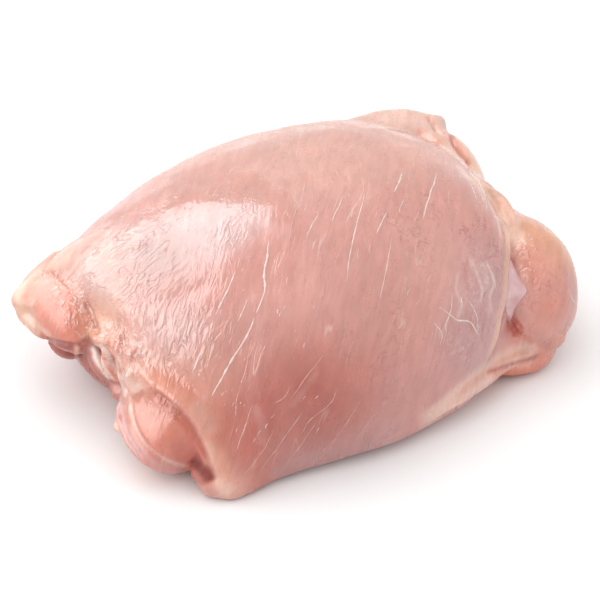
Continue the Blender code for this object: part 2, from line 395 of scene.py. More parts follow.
# creases and ridges of the skin: height in steps, width in steps, pixels along it
reliefLines = {
    "lipCreaseTop": (-0.35, 0.9, [(128, 364), (140, 380), (154, 393), (166, 402)]),
    "lipCrease": (-0.9, 0.8, [(152, 391), (164, 400), (176, 410), (188, 421), (199, 440), (206, 458),
                              (212, 474), (216, 488)]),
    "tipTrim": (-1.3, 3.4, [(15, 282), (23, 269), (34, 258)]),
    "rimCrease": (-0.35, 0.4, [(34, 282), (42, 275), (52, 274), (60, 279), (68, 287), (76, 298)]),
    "rimRidge": (0.2, 0.35, [(36, 285), (44, 279), (54, 279), (62, 284), (70, 293)]),
    "recessCrease": (-1.0, 0.8, [(42, 338), (53, 342), (66, 345), (79, 346), (90, 341)]),
    "recessWeb": (0.35, 0.5, [(77, 346), (76, 351), (76, 356)]),
    "lobeRim": (0.3, 0.6, [(131, 392), (130, 406), (136, 425), (148, 444), (166, 459), (186, 467)]),
    "knuckleCrease": (-0.7, 0.8, [(84, 300), (90, 312), (94, 324), (97, 335)]),
    "layerCrease": (-0.7, 0.6, [(130, 400), (134, 422), (145, 443), (162, 458), (184, 466)]),
    "layerOuterCrease": (-0.5, 0.6, [(118, 400), (122, 420), (132, 444), (150, 464), (172, 472)]),
    "hollow": (-0.9, 0.8, [(510, 318), (513, 328), (518, 337)]),
    "hollowWrinkleOne": (-0.25, 0.35, [(511, 318), (517, 322), (522, 330)]),
    "hollowWrinkleTwo": (-0.25, 0.35, [(513, 330), (519, 333), (524, 339)]),
    "filmFoldOne": (0.15, 0.4, [(470, 258), (479, 278), (482, 292), (480, 304)]),
    "filmFoldTwo": (0.18, 0.4, [(488, 262), (494, 282), (490, 298), (492, 312)]),
    "filmFoldThree": (-0.2, 0.4, [(474, 306), (470, 322), (474, 340), (466, 358)]),
    "filmFoldFour": (0.15, 0.4, [(458, 272), (456, 290), (461, 304), (457, 320)]),
    "filmFoldFive": (-0.15, 0.35, [(486, 318), (482, 332), (486, 346)]),
    "flankCrease": (-0.8, 0.7, [(512, 258), (512, 270), (514, 286), (512, 306), (510, 320)]),
    "flankWrinkleOne": (-0.2, 0.4, [(522, 246), (532, 258), (546, 262)]),
    "flankWrinkleTwo": (-0.2, 0.4, [(524, 262), (534, 276), (532, 290)]),
    "flankWrinkleThree": (-0.15, 0.4, [(548, 268), (554, 284), (550, 296)]),
    "nubCrease": (-0.7, 0.6, [(449, 130), (453, 142), (462, 156), (474, 170)]),
    "nubNeck": (-1.0, 0.6, [(427, 115), (433, 124), (438, 131), (446, 134)]),
    "stripRibOne": (-0.25, 0.4, [(484, 186), (494, 198), (500, 212)]),
    "stripRibTwo": (-0.25, 0.4, [(498, 200), (508, 214), (512, 228)]),
    "farValley": (-0.5, 1.0, [(42, 22, 18), (24, 33, 17), (5, 44, 14), (-18, 44, 18), (-34, 36, 18)]),
    "farCrease": (-0.4, 0.6, [(-12, 46, 4), (-14, 46, 12), (-20, 44, 18)]),
    "farRidgeOne": (0.25, 0.9, [(48, 2, 26), (46, 14, 22), (42, 22, 12)]),
    "farRidgeTwo": (0.25, 0.9, [(14, 36, 24), (0, 42, 20), (-14, 44, 22)]),
    "farWrinkleOne": (-0.25, 0.4, [(30, 34, 12), (26, 36, 6), (20, 38, 3)]),
    "farWrinkleTwo": (-0.25, 0.4, [(4, 46, 12), (0, 46, 7), (-4, 46, 3)]),
    "farWrinkleThree": (-0.25, 0.4, [(54, -2, 18), (54, 4, 12), (50, 8, 6)]),
    "topFatCrease": (-0.4, 0.6, [(384, 128), (412, 134), (434, 144), (448, 152)]),
    "undersideCrease": (-0.7, 0.6, [(486, 372), (506, 366), (526, 360), (540, 354)]),
    "membraneRidge": (0.6, 0.7, [(492, 217), (502, 222), (507, 236), (508, 250), (506, 275), (505, 295),
                                  (500, 315), (495, 340), (487, 360)]),
    "dent": (-0.35, 2.0, [(134, 308), (156, 303), (182, 296), (204, 286)]),
    "lump": (0.35, 2.0, [(130, 312), (142, 316)]),
}


tiny = 1e-18  # stands for the length between two equal points of a path


def lineDistances(points, path):
    # distance from each point to the path, and how far along the path the nearest place is
    best = np.full(len(points), np.inf)
    where = np.zeros(len(points))
    spans = len(path) - 1
    for i in range(spans):
        start, way = path[i], path[i + 1] - path[i]
        t = np.clip((points - start) @ way / max(way @ way, tiny), 0, 1)
        gap = np.linalg.norm(points - start - t[:, None] * way, axis=1)
        nearer = gap < best
        best[nearer] = gap[nearer]
        where[nearer] = (i + t[nearer]) / spans
    return best, where


def nearPath(points, path, reach):
    low, high = path.min(axis=0) - reach, path.max(axis=0) + reach
    return np.where(((points > low) & (points < high)).all(axis=1))[0]


# fewest points of a line and how many for each of its pixels, how many of its widths it
# reaches, how fast relief and colour run out at its ends, and what width counts as broad
lineLook = {"fewest": 8, "perPixel": 5, "reach": 3, "reliefEnds": 6, "colourEnds": 10, "broad": 1.5}


def nearLine(tree, points, pixels, width):
    # which points lie near a line, how far from it they are, and how far along it
    path = pathOnSkin(tree, pixels, max(lineLook["fewest"], lineLook["perPixel"] * len(pixels)))
    near = nearPath(points, path, lineLook["reach"] * width * step)
    gap, where = lineDistances(points[near], path)
    return near, gap, where


def fadedEnds(where, haste):
    return np.clip(np.minimum(where, 1 - where) * haste, 0, 1) ** 0.5


def carveLines(piece, lines):
    tree = skinTree(piece)
    points, normals = readPoints(piece), readNormals(piece)
    moves = np.zeros(len(points))
    for height, width, pixels in lines.values():
        near, gap, where = nearLine(tree, points, pixels, width)
        # a narrow line runs out at its ends, and a broad one is round there
        ends = fadedEnds(where, lineLook["reliefEnds"]) if width < lineLook["broad"] else 1
        moves[near] += height * ends * np.exp(-((gap / (width * step)) ** 2))
    writePoints(piece, points + normals * moves[:, None] * step)


# The grain of the muscle runs with the fibres: its axes are across, along and through them
fibreLean = 0.23
across = (right - up * fibreLean).normalized()
along = (up + right * fibreLean).normalized()

fibreRelief = {
    "depth": 0.07,
    "acrossWave": 2.2,
    "alongWave": 30,
    "wanderDepth": 2.5,
    "wanderWave": 18,
    "lumpDepth": 0.4,
    "lumpWave": 13,
    "lumpShift": 7,
    "dimpleDepth": 0.10,
    "dimpleWave": 4.5,
    "dimpleShift": 5,
}


def carveFibres(piece, look):
    points, normals = readPoints(piece), readNormals(piece)
    grain = points @ np.array((across, along, back)).T / step
    moves = np.empty(len(points))
    wide, large, small = look["wanderWave"], look["lumpWave"], look["dimpleWave"]
    for i, (u, v, w) in enumerate(grain):
        wander = noise.noise((u / wide, v / wide, w / wide)) * look["wanderDepth"]
        fibre = noise.noise(((u + wander) / look["acrossWave"], v / look["alongWave"], w / look["alongWave"]))
        lump = noise.noise((u / large + look["lumpShift"], v / large, w / large))
        dimple = noise.noise((u / small, v / small + look["dimpleShift"], w / small))
        moves[i] = fibre * look["depth"] + lump * look["lumpDepth"] + dimple * look["dimpleDepth"]
    writePoints(piece, points + normals * moves[:, None] * step)


# behind the outline the fat rim melts into the far side
rimBlend = {
    "pixels": [(60, 268), (80, 256), (98, 244), (114, 233), (128, 225)],
    "lift": -6.0,
    "reach": 3.8,
    "faintest": 0.01,
    "passes": 105,
}


def meltRim(piece, blend):
    path = pathOnSkin(skinTree(piece), blend["pixels"], formPoints, (blend["lift"],), bridge=True)
    gap, _ = lineDistances(readPoints(piece), path)
    cover = np.exp(-((gap / (blend["reach"] * step)) ** 4))
    group = piece.vertex_groups.new(name="rim")
    for i in np.where(cover > blend["faintest"])[0]:
        group.add([int(i)], cover[i], "REPLACE")
    melt = piece.modifiers.new("melt", "SMOOTH")
    melt.vertex_group = "rim"
    melt.iterations = blend["passes"]
    applyModifier(piece, melt)
    piece.vertex_groups.clear()


meltRim(thigh, rimBlend)
carveFibres(thigh, fibreRelief)
carveLines(thigh, reliefLines)
selectOnly(thigh)
bpy.ops.object.shade_smooth()
print("relief carved")


# Colour, painted on the skin

def fromScreen(red, green, blue):
    # screen colour out of 255 to the linear colour that the shader takes
    return np.array([((c / 255 + 0.055) / 1.055) ** 2.4 for c in (red, green, blue)])


flesh = {
    "rosy": fromScreen(226, 164, 153),
    "pale": fromScreen(232, 180, 166),
    # painted highlight: a greyer rose under the main gleam, and a near white where highlights fall
    "highlightGreyRose": fromScreen(206, 174, 168),
    "paintedHighlightWhite": fromScreen(236, 206, 204),
    "peach": fromScreen(238, 166, 142),
    "salmon": fromScreen(236, 144, 120),
    "orange": fromScreen(238, 176, 144),
    "warmFat": fromScreen(255, 212, 190),
    "coral": fromScreen(230, 136, 112),
    # painted shade: a dark red for creases, recesses, the crevice and under the lip
    "shadeRed": fromScreen(198, 100, 82),
    # painted shade: dull pinks and reds for the lower front, the low far side, the underside and folds; the
    # dim rose is also the flesh's own tone in places
    "shadePink": fromScreen(210, 134, 122),
    "dimRose": fromScreen(212, 148, 140),
    "shadeRusset": fromScreen(200, 112, 96),
    "shadeMaroon": fromScreen(184, 95, 81),
    "lilac": fromScreen(216, 168, 168),
    "dimLilac": fromScreen(196, 146, 144),
    "sinew": fromScreen(255, 226, 214),
    # tendon white, raised above its own tone: painted light on the tendons and on the shaded neck
    "tendon": fromScreen(255, 230, 218) * 1.08,
    "cream": fromScreen(252, 218, 202),
    "yellowFat": fromScreen(255, 230, 202),
    # painted shadow: a dark purplish red for the recess under the upper knuckle
    "recessShadow": fromScreen(190, 110, 98),
    # the red of deeper flesh, darkened: painted shade in the hollow and low on the lower knuckle
    "redFlesh": fromScreen(216, 104, 92),
    # painted shadow, the darkest, in the recess and the crevice
    "deepShadow": fromScreen(140, 50, 38),
}
albedoShare = 0.80

# Broad colours, blended by nearness: name, reach in steps, pixels
broadColours = [
    # painted light: the top of the dome paler, where the light falls from above
    ("pale", 16, [(300, 160), (220, 165), (380, 150)]),
    # painted highlight: the main gleam's patch in greyer rose and near white
    ("highlightGreyRose", 5, [(138, 254), (154, 268), (164, 240), (180, 260), (206, 232), (230, 232)]),
    ("paintedHighlightWhite", 4, [(190, 222), (212, 220), (234, 218), (246, 222), (220, 240), (200, 252)]),
    ("rosy", 8, [(190, 180), (235, 178), (150, 200)]),
    # painted highlight: pale and near white where the gleam goes on at the left
    ("pale", 6, [(85, 255), (108, 292), (98, 276), (112, 262)]),
    ("paintedHighlightWhite", 2.5, [(89, 275), (97, 283), (105, 291)]),
    ("orange", 4, [(98, 310), (106, 322)]),
    # painted highlight: near white in the streaks of gleam below the main patch
    ("paintedHighlightWhite", 6, [(156, 336), (186, 326)]),
    ("pale", 4, [(230, 488), (220, 470)]),
    ("rosy", 16, [(330, 250), (400, 220), (260, 300), (200, 300)]),
    ("peach", 10, [(150, 350), (180, 390)]),
    ("rosy", 12, [(430, 290), (440, 190), (360, 320)]),
    ("pale", 7, [(436, 262)]),
    # painted shade: the lower front in darker reds and pinks, with dim lilac and lilac along its bottom edge
    ("shadeMaroon", 8, [(286, 400), (304, 396), (322, 402), (336, 416), (300, 418)]),
    ("shadePink", 9, [(345, 380), (280, 370)]),
    ("shadeRusset", 7, [(246, 424), (252, 440), (258, 456)]),
    ("dimRose", 7, [(280, 440), (345, 440), (390, 420), (410, 385)]),
    ("dimLilac", 5, [(296, 464), (322, 460), (344, 454), (368, 444)]),
    ("lilac", 4, [(384, 436)]),
    ("lilac", 8, [(485, 275), (482, 300), (474, 322)]),
    ("dimLilac", 4, [(456, 334), (462, 350)]),
    # painted shade: the low far side darker
    ("shadePink", 10, [(30, 32, 8), (-2, 46, 10), (-30, 40, 8)]),
    ("shadeMaroon", 6, [(18, 38, 5), (-18, 44, 6), (52, 2, 6)]),
    # painted light: the top of the far side paler
    ("pale", 10, [(-5, 38, 27), (40, 20, 26)]),
    ("warmFat", 4, [(12, 40, 20), (-24, 42, 20), (36, 26, 14)]),
    ("lilac", 7, [(50, 8, 16), (-40, 28, 12)]),
    # painted shade: the underside darker
    ("shadePink", 12, [(0, 0, 0.8), (-25, 5, 0.8), (28, 5, 0.8)]),
    ("lilac", 8, [(12, 18, 1), (-10, -10, 1)]),
    ("cream", 6, [(-32, -4, 1), (32, -8, 1), (0, 30, 1)]),
    ("dimRose", 6, [(452, 350)]),
    ("peach", 5, [(40, 262), (20, 300)]),
    ("salmon", 7, [(56, 314)]),
    ("coral", 4, [(58, 322)]),
    ("coral", 7, [(158, 420), (172, 440)]),
    # painted shade on the shaded lower side of the lower knuckle
    ("shadeRusset", 5, [(186, 448), (192, 440)]),
    ("rosy", 9, [(545, 320), (556, 290)]),
    ("salmon", 4, [(548, 306)]),
    ("peach", 6, [(530, 268)]),
    ("orange", 4, [(530, 230), (550, 242), (564, 258)]),
    # painted shadow in the recess under the upper knuckle
    ("recessShadow", 4, [(62, 352), (75, 356), (84, 356), (92, 368), (100, 378)]),
    ("cream", 6, [(400, 116), (430, 124)]),
    ("warmFat", 4, [(462, 150), (468, 160)]),
    ("salmon", 6, [(520, 378)]),
]

# Details over them: name, strength, width in steps, and pixels or the relief line it follows
colourLines = [
    ("yellowFat", 0.45, 2.2, [(14, 304), (17, 290), (24, 280)]),
    ("yellowFat", 0.5, 1.7, [(17, 304), (28, 322), (40, 334)]),
    ("orange", 0.35, 2.6, [(24, 286), (40, 270), (58, 258), (76, 250)]),
    ("peach", 0.6, 0.7, "nubNeck"),
    ("salmon", 0.3, 3.0, [(160, 374), (182, 390), (200, 404)]),
    ("salmon", 0.6, 0.4, "rimCrease"),
    # painted highlight: a pale glint along the ridge of the upper knuckle
    ("sinew", 0.25, 0.35, [(37, 285), (46, 280), (56, 280), (63, 285)]),
    ("cream", 0.35, 0.9, [(30, 300), (33, 316), (42, 329), (52, 337)]),
    # painted shadow in the recess under the upper knuckle
    ("recessShadow", 0.95, 1.7, [(48, 341), (60, 344), (74, 348)]),
    ("orange", 0.7, 1.4, [(84, 338), (90, 336), (94, 330)]),
    # painted shade in the crease beside the upper knuckle
    ("shadeRed", 0.4, 0.8, [(84, 300), (92, 312), (97, 330)]),
    # painted shadow in the recess, darkest at its back and below it
    ("recessShadow", 0.95, 1.7, [(46, 343), (61, 349), (70, 353), (75, 356)]),
    ("recessShadow", 0.95, 1.8, [(77, 353), (84, 352), (92, 349), (96, 345)]),
    ("deepShadow", 0.45, 0.7, [(48, 342), (60, 346), (74, 348)]),
    ("deepShadow", 0.45, 0.7, [(79, 348), (88, 346), (94, 342)]),
    ("shadeRusset", 0.8, 1.6, [(82, 362), (92, 370), (100, 378)]),
    ("cream", 0.7, 0.4, [(77, 344), (77, 351), (76, 360)]),
    # the flesh between the tendons, redder as painted bounce light in their shade
    ("peach", 0.9, 2.8, [(100, 340), (109, 356), (117, 370), (123, 384)]),
    # painted light: the tendons lighter where they catch the light
    ("tendon", 0.7, 1.5, [(94, 344), (99, 357), (107, 370), (116, 382)]),
    ("tendon", 0.9, 0.45, [(93, 347), (97, 359), (103, 371), (110, 380)]),
    ("tendon", 0.9, 0.8, [(101, 344), (109, 359), (116, 371), (121, 381)]),
    ("sinew", 0.8, 0.9, [(116, 354), (121, 369), (124, 383), (125, 398)]),
    # painted shade in the recess by the tendons' head
    ("shadeRed", 0.6, 1.0, [(80, 348), (87, 344), (92, 338)]),
    # painted bounce light: the gaps between the tendons redder in their shade
    ("salmon", 0.8, 0.5, [(99, 346), (104, 359), (111, 371), (118, 381)]),
    ("salmon", 0.7, 0.5, [(110, 349), (117, 361), (121, 374)]),
    ("cream", 0.4, 1.4, [(44, 20, 18), (24, 33, 17), (5, 44, 14), (-18, 44, 18), (-34, 36, 18)]),
    # painted shade in the far crease
    ("shadeRed", 0.35, 0.7, "farCrease"),
    ("yellowFat", 0.5, 1.8, [(18, 38, 20), (4, 44, 17), (-8, 45, 18)]),
    ("cream", 0.5, 2.0, [(-40, -6, 1), (-10, 6, 1), (20, 2, 1), (44, 8, 1)]),
    # painted light: the neck under the lip lightened out of its shade
    ("tendon", 0.65, 2.0, [(126, 366), (133, 380), (140, 392)]),
    ("sinew", 0.6, 0.8, [(425, 138), (445, 149), (465, 165), (478, 184), (486, 204)]),
    ("cream", 0.7, 1.2, [(114, 420), (120, 430)]),
    ("peach", 0.7, 2.6, [(128, 362), (150, 382), (176, 402), (196, 422), (208, 446), (218, 470), (226, 492)]),
    ("cream", 0.35, 1.2, [(205, 440), (214, 462), (222, 484), (228, 495)]),
    # painted shadow of the cover sheet's lip on the lower knuckle
    ("shadeRed", 0.65, 1.5, [(148, 390), (162, 400), (176, 412), (188, 426), (197, 446), (203, 462)]),
    ("lilac", 0.6, 1.5, [(120, 396), (120, 412), (128, 436), (143, 456), (165, 469), (188, 473)]),
    # painted shade: the crevice dark
    ("shadeRed", 0.85, 2.4, [(188, 462), (202, 473), (210, 484)]),
    ("deepShadow", 0.95, 1.4, [(190, 459), (198, 465), (205, 473), (209, 482)]),
    ("dimRose", 0.6, 1.4, [(205, 486), (210, 492), (216, 496)]),
    ("peach", 0.5, 1.6, [(212, 450), (220, 466), (226, 480)]),
    ("warmFat", 0.25, 2.0, [(216, 478), (224, 488), (232, 494)]),
    ("pale", 0.4, 2.2, [(190, 404), (204, 420), (212, 436)]),
    # painted shade: dark red lines on the lower front, with dim rose streaks between them
    ("shadeMaroon", 0.4, 2.2, [(262, 392), (268, 416), (264, 440)]),
    ("shadeMaroon", 0.45, 1.6, [(296, 382), (318, 394), (338, 412)]),
    ("shadeRusset", 0.45, 1.2, [(238, 398), (246, 424), (250, 448)]),
    ("dimRose", 0.5, 1.0, [(254, 404), (262, 424), (260, 446)]),
    ("dimRose", 0.4, 0.7, [(290, 408), (304, 390), (318, 370)]),
    # painted shade: dim lilac along the bottom edge
    ("dimLilac", 0.5, 1.6, [(268, 476), (300, 462), (336, 452), (372, 440)]),
    # painted shade low on the lower knuckle, in red flesh
    ("redFlesh", 0.4, 2.4, [(174, 454), (190, 450), (198, 442)]),
    ("sinew", 0.5, 0.5, "lobeRim"),
    ("warmFat", 0.95, 2.9, [(472, 174), (486, 192), (500, 208), (510, 226), (513, 248)]),
    ("peach", 0.35, 0.6, "stripRibOne"),
    ("peach", 0.35, 0.6, "stripRibTwo"),
    ("sinew", 0.6, 0.5, [(478, 184), (490, 204), (498, 222), (501, 240)]),
    ("cream", 0.65, 2.6, [(540, 352), (520, 356), (498, 366), (474, 384), (446, 406), (418, 424)]),
    ("peach", 0.5, 0.9, [(530, 352), (506, 360), (480, 376), (456, 396)]),
    ("rosy", 0.6, 2.2, [(480, 204), (490, 222), (496, 244)]),
    ("warmFat", 0.6, 0.8, "membraneRidge"),
    ("sinew", 0.5, 0.45, "filmFoldOne"),
    ("sinew", 0.55, 0.45, "filmFoldTwo"),
    ("sinew", 0.35, 0.4, "filmFoldFour"),
    ("sinew", 0.3, 1.0, [(478, 262), (486, 276), (486, 292)]),
    # painted shade in the folds of the film
    ("shadePink", 0.45, 0.5, "filmFoldThree"),
    ("shadePink", 0.4, 0.4, "filmFoldFive"),
    ("shadePink", 0.35, 0.5, [(464, 262), (466, 280), (470, 294)]),
    # the hollow in salmon and red flesh, darker as painted shade in it
    ("salmon", 0.7, 1.6, [(510, 316), (515, 327), (521, 340)]),
    ("redFlesh", 0.9, 0.9, [(511, 320), (514, 328), (518, 336)]),
    ("redFlesh", 0.6, 0.4, [(512, 318), (518, 322), (524, 330)]),
    ("peach", 0.6, 1.2, [(416, 130), (430, 138), (442, 146)]),
    # painted shade in the crease of the flank
    ("shadeRed", 0.5, 0.9, [(512, 256), (512, 270), (514, 286), (512, 306), (510, 318)]),
    ("coral", 0.5, 2.2, [(492, 382), (512, 379), (532, 370), (544, 360)]),
    # painted shade in the crease under the flank and in the crease by the nub
    ("shadePink", 0.8, 0.5, "undersideCrease"),
    ("shadeRed", 0.7, 0.8, [(449, 132), (454, 144), (462, 156), (470, 166)]),
    ("coral", 0.2, 1.4, [(456, 142), (464, 152), (470, 164)]),
    ("orange", 0.8, 1.6, [(524, 226), (540, 232), (556, 244), (566, 258)]),
    ("salmon", 0.4, 0.4, "flankWrinkleOne"),
    ("salmon", 0.4, 0.4, "flankWrinkleTwo"),
    ("lilac", 0.5, 1.0, [(566, 268), (573, 290), (571, 312), (562, 330)]),
]


restWeight = 1e-3  # of rosy, for where no broad colour reaches


def nearness(tree, points, where, reach):
    # 1 at a spot, fading over its reach in steps
    spot = np.array(onSkin(tree, where)[0])
    return np.exp(-((np.linalg.norm(points - spot, axis=1) / (reach * step)) ** 2))


def paint(piece):
    tree = skinTree(piece)
    points = readPoints(piece)
    total = np.zeros((len(points), 3)) + flesh["rosy"] * restWeight
    weight = np.full(len(points), restWeight)
    for name, reach, pixels in broadColours:
        for pixel in pixels:
            near = nearness(tree, points, pixel, reach)
            total += near[:, None] * flesh[name]
            weight += near
    tone = total / weight[:, None]
    for name, strength, width, pixels in colourLines:
        if isinstance(pixels, str):
            pixels = reliefLines[pixels][2]
        near, gap, where = nearLine(tree, points, pixels, width)
        ends = fadedEnds(where, lineLook["colourEnds"])
        cover = (strength * ends * np.exp(-((gap / (width * step)) ** 4)))[:, None]
        tone[near] = tone[near] * (1 - cover) + flesh[name] * cover
    shades = np.ones((len(points), 4))
    shades[:, :3] = tone * albedoShare
    layer = piece.data.color_attributes.new("tone", "FLOAT_COLOR", "POINT")
    layer.data.foreach_set("color", shades.ravel())


# Where the film over the meat is wet, crinkled, fibrous or veined: strength elsewhere,
# then strength, reach in steps and pixels of each patch
filmPatches = {
    "wetness": (0.25, [
        (1.0, 8, [(110, 262), (140, 240), (165, 225), (200, 212), (232, 212), (180, 255), (145, 280),
                  (225, 240)]),
        (1.0, 7, [(262, 208), (272, 232), (262, 262), (236, 190), (196, 186)]),
        (1.0, 7, [(150, 318), (175, 325), (165, 345), (195, 335), (205, 300), (185, 360)]),
        (1.0, 3.5, [(64, 290), (70, 302), (80, 320), (84, 332)]),
        (0.9, 1.6, [(146, 387), (147, 404), (168, 407), (173, 416), (160, 412)]),
        (0.9, 4, [(100, 338), (118, 342), (128, 356), (110, 362), (134, 376)]),
        (0.8, 8, [(250, 150), (320, 135), (390, 135), (200, 175), (130, 205)]),
        (0.8, 4, [(440, 145), (470, 175), (500, 215), (540, 270), (525, 250)]),
        (0.8, 10, [(-5, 38, 27), (30, 34, 14), (50, 6, 20), (-30, 40, 14)]),
    ]),
    "matte": (0.0, [
        (1.0, 2.4, [(192, 460), (198, 466), (204, 472), (209, 480)]),
        (0.7, 1.6, [(60, 350), (72, 353), (86, 352)]),
    ]),
    "crackle": (0.03, [
        (1.0, 3.0, [(64, 288), (72, 298), (78, 310), (82, 322), (88, 330)]),
        (0.7, 2.0, [(44, 276), (54, 277)]),
        (0.45, 1.8, [(148, 387), (150, 404), (166, 407), (173, 416)]),
        (0.8, 4, [(104, 336), (118, 340), (130, 352), (112, 356)]),
        (0.25, 5, [(100, 258), (112, 272), (126, 250)]),
        (0.6, 3, [(524, 250), (532, 244), (530, 272), (516, 328)]),
        (0.5, 5, [(478, 290), (476, 320), (464, 340), (490, 270)]),
        (0.4, 9, [(20, 38, 20), (-10, 44, 16), (50, 8, 20)]),
    ]),
    "slantCrinkles": (0.04, [
        (1.0, 7, [(92, 262), (104, 250), (96, 278), (118, 240), (116, 268), (140, 250), (136, 280)]),
        (0.6, 5, [(150, 216), (175, 208), (170, 270)]),
        (0.35, 5, [(200, 200), (225, 197), (245, 206)]),
        (0.7, 2.5, [(66, 292), (74, 302)]),
    ]),
    "uprightCrinkles": (0.08, [
        (1.0, 7, [(150, 318), (160, 334), (180, 330), (168, 350), (200, 325), (140, 335), (190, 350)]),
        (0.6, 5, [(215, 285), (210, 310)]),
        (0.35, 5, [(225, 262), (230, 240)]),
        (0.6, 3, [(150, 392), (160, 404), (170, 412)]),
    ]),
    "fibres": (0.45, [
        (1.0, 14, [(200, 250), (280, 230), (350, 230), (420, 210), (330, 330), (250, 380), (410, 300)]),
    ]),
    "veins": (0.2, [
        (1.0, 7, [(405, 225), (430, 230), (450, 215), (470, 225), (490, 235), (430, 205)]),
        (0.8, 7, [(370, 350), (390, 330), (540, 290), (350, 400), (370, 410)]),
        (0.8, 9, [(12, 28, 31), (48, 12, 20), (-5, 42, 20), (30, 32, 8)]),
    ]),
}


def paintFilm(piece):
    tree = skinTree(piece)
    points = readPoints(piece)
    for name, (elsewhere, patches) in filmPatches.items():
        mask = np.full(len(points), elsewhere)
        for strength, reach, pixels in patches:
            for pixel in pixels:
                mask = np.maximum(mask, strength * nearness(tree, points, pixel, reach))
        piece.data.attributes.new(name, "FLOAT", "POINT").data.foreach_set("value", mask)


paint(thigh)
paintFilm(thigh)
print("skin painted")


# White threads of the fascia: pixels along each, and its half width in steps
threadForms = [
    ([(269, 240), (267, 258), (264, 276), (265, 290), (256, 314)], 0.30),
    ([(255, 317), (248, 334), (232, 360), (220, 382), (211, 397)], 0.24),
    ([(343, 196), (332, 222)], 0.15),
    ([(365, 192), (358, 220), (351, 249), (346, 284)], 0.14),
    ([(388, 211), (376, 234)], 0.13),
    ([(402, 173), (400, 180), (394, 192)], 0.22),
    ([(437, 173), (435, 181), (430, 194), (423, 220)], 0.20),
    ([(392, 236), (386, 270), (380, 300)], 0.12),
    ([(404, 198), (399, 212)], 0.12),
    ([(319, 213), (306, 236)], 0.12),
    ([(236, 270), (226, 294), (215, 316)], 0.2),
    ([(202, 350), (192, 374)], 0.17),
    ([(248, 298), (238, 322)], 0.14),
    ([(440, 146), (450, 151), (465, 165), (475, 175), (481, 185), (485, 195), (487, 210)], 0.30),
    ([(462, 172), (472, 186), (478, 204)], 0.14),
    ([(439, 307), (447, 312), (457, 320), (470, 322), (480, 336)], 0.22),
    ([(452, 290), (451, 310), (446, 325), (447, 332)], 0.16),
    ([(461, 297), (462, 310)], 0.40),
    ([(485, 260), (492, 275), (497, 292)], 0.26),
    ([(468, 300), (476, 314), (478, 330)], 0.18),
    ([(434, 322), (442, 334), (440, 346)], 0.14),
    ([(570, 295), (576, 305)], 0.2),
    ([(46, 14, 24), (40, 24, 17), (26, 33, 18), (14, 39, 17)], 0.26),
    ([(22, 34, 20), (8, 42, 17), (-6, 45, 15), (-16, 45, 18)], 0.22),
    ([(-16, 45, 17), (-26, 42, 20), (-36, 34, 22)], 0.20),
    ([(2, 45, 17), (-2, 46, 10), (-8, 46, 5)], 0.16),
    ([(52, 4, 22), (53, 8, 14), (50, 12, 7)], 0.16),
    ([(30, 30, 24), (20, 34, 25), (10, 38, 24)], 0.12),
    ([(-30, -6, 1), (-8, 4, 1), (12, 2, 1), (34, 8, 1)], 0.20),
]
# Long faint threads, coloured darker for the darker meat: on the lower front that darkness is painted shade
faintThreads = [
    ([(258, 474), (280, 444), (304, 410)], 0.14),
    ([(276, 478), (300, 446), (318, 420)], 0.12),
    ([(288, 402), (306, 378), (324, 354)], 0.14),
    ([(318, 462), (342, 430), (362, 398)], 0.12),
    ([(352, 446), (376, 412)], 0.12),
    ([(236, 452), (244, 430), (252, 404)], 0.13),
    ([(244, 476), (262, 452), (274, 430)], 0.12),
    ([(300, 436), (310, 420), (330, 404), (338, 388)], 0.12),
    ([(272, 404), (284, 398), (290, 386)], 0.12),
    ([(372, 300), (364, 330), (352, 362)], 0.12),
    ([(410, 262), (404, 300), (394, 334)], 0.12),
    ([(330, 262), (322, 300), (310, 336)], 0.12),
    ([(300, 196), (292, 226), (288, 258)], 0.12),
    ([(446, 200), (452, 222), (452, 246)], 0.13),
    ([(-10, 30, 30), (-14, 38, 24), (-20, 43, 16)], 0.14),
    ([(22, 24, 31), (26, 30, 24), (28, 33, 14)], 0.14),
]
# Short fine threads scattered in patches: middle and half size in pixels, how many, how
# long in pixels and how far they lean
fineThreads = {
    "high": {"middle": (350, 215), "spread": (80, 40), "count": 12, "length": 14, "lean": 0.28},
    "middle": {"middle": (270, 300), "spread": (50, 50), "count": 16, "length": 9, "lean": 0.30},
    "low": {"middle": (215, 385), "spread": (35, 30), "count": 16, "length": 7, "lean": 0.35},
    "front": {"middle": (300, 420), "spread": (55, 40), "count": 8, "length": 9, "lean": 0.65},
    "right": {"middle": (440, 300), "spread": (50, 60), "count": 14, "length": 10, "lean": 0.45},
}
fineThreadWidth = 0.10
fineThreadChance = {"seed": 7, "shortest": 0.3, "leanSpread": 0.18, "bendSpread": 0.12}


def scatterThreads(patches, look):
    chance = np.random.default_rng(look["seed"])
    threads = []
    for patch in patches.values():
        for _ in range(patch["count"]):
            x, y = np.array(patch["middle"]) + chance.uniform(-1, 1, 2) * patch["spread"]
            half = patch["length"] * chance.uniform(look["shortest"], 1.0) / 2
            lean = patch["lean"] + chance.normal(0, look["leanSpread"])
            dx, dy = half * math.sin(lean), -half * math.cos(lean)
            bend = chance.normal(0, half * look["bendSpread"])
            threads.append(([(x - dx, y - dy), (x + bend, y), (x + dx, y + dy)], fineThreadWidth))
    return threads


threadLook = {
    "pointsPerPixel": 8,
    "finePoints": 6,
    "sides": 8,
    "flatness": 0.4,
    "wander": (0.8, 0.24, 0.24),
    "wanderSeed": 7,
    "wanderWave": 5,
    "wanderApart": 3.7,
    "girth": 0.8,
    "girthSwing": 0.9,
    "girthWave": 2.2,
    "girthApart": 5.1,
    "thinnest": 0.25,
    "tip": 0.1,
}


